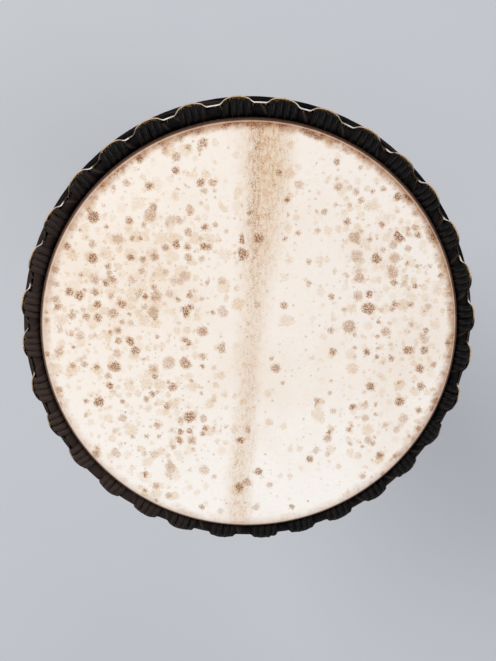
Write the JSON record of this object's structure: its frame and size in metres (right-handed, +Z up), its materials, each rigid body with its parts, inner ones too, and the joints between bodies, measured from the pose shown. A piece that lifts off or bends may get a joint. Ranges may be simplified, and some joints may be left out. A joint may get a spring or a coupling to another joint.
{
  "type": "goblet hand drum",
  "caption": "Rope-tuned goblet hand drum with a carved wooden shell, a goatskin head and cloth-wrapped tension rings.",
  "frame": {"origin": "centre of the foot's face, on the drum's axis", "axes": "+Z up the drum's axis to the head; the first crown hitch lies just clockwise of +Y"},
  "size_m": [0.3518, 0.3518, 0.6],
  "materials": {
    "shell_wood": "oiled hardwood, dark brown, straight grain",
    "goatskin": "shaved rawhide, cream with brown spots, matte",
    "ring_steel": "mild steel rod, dull",
    "black_cloth": "black cotton strip wound on at a slant",
    "black_rope": "black braided low-stretch rope"
  },
  "bodies": {
    "root": {"shell": "shell_wood", "goatskin_head": "goatskin", "flesh_ring": "ring_steel", "crown_ring": "ring_steel", "crown_ring_wrap": "black_cloth", "outer_ring": "ring_steel", "outer_ring_wrap": "black_cloth", "bottom_ring": "ring_steel", "bottom_ring_wrap": "black_cloth", "crown_hitches": "black_rope", "crown_loops": "black_rope", "bottom_hitches": "black_rope", "bottom_loops": "black_rope", "lacing_rope": "black_rope", "lacing_end_knot": "black_rope"}
  },
  "joints": []
}
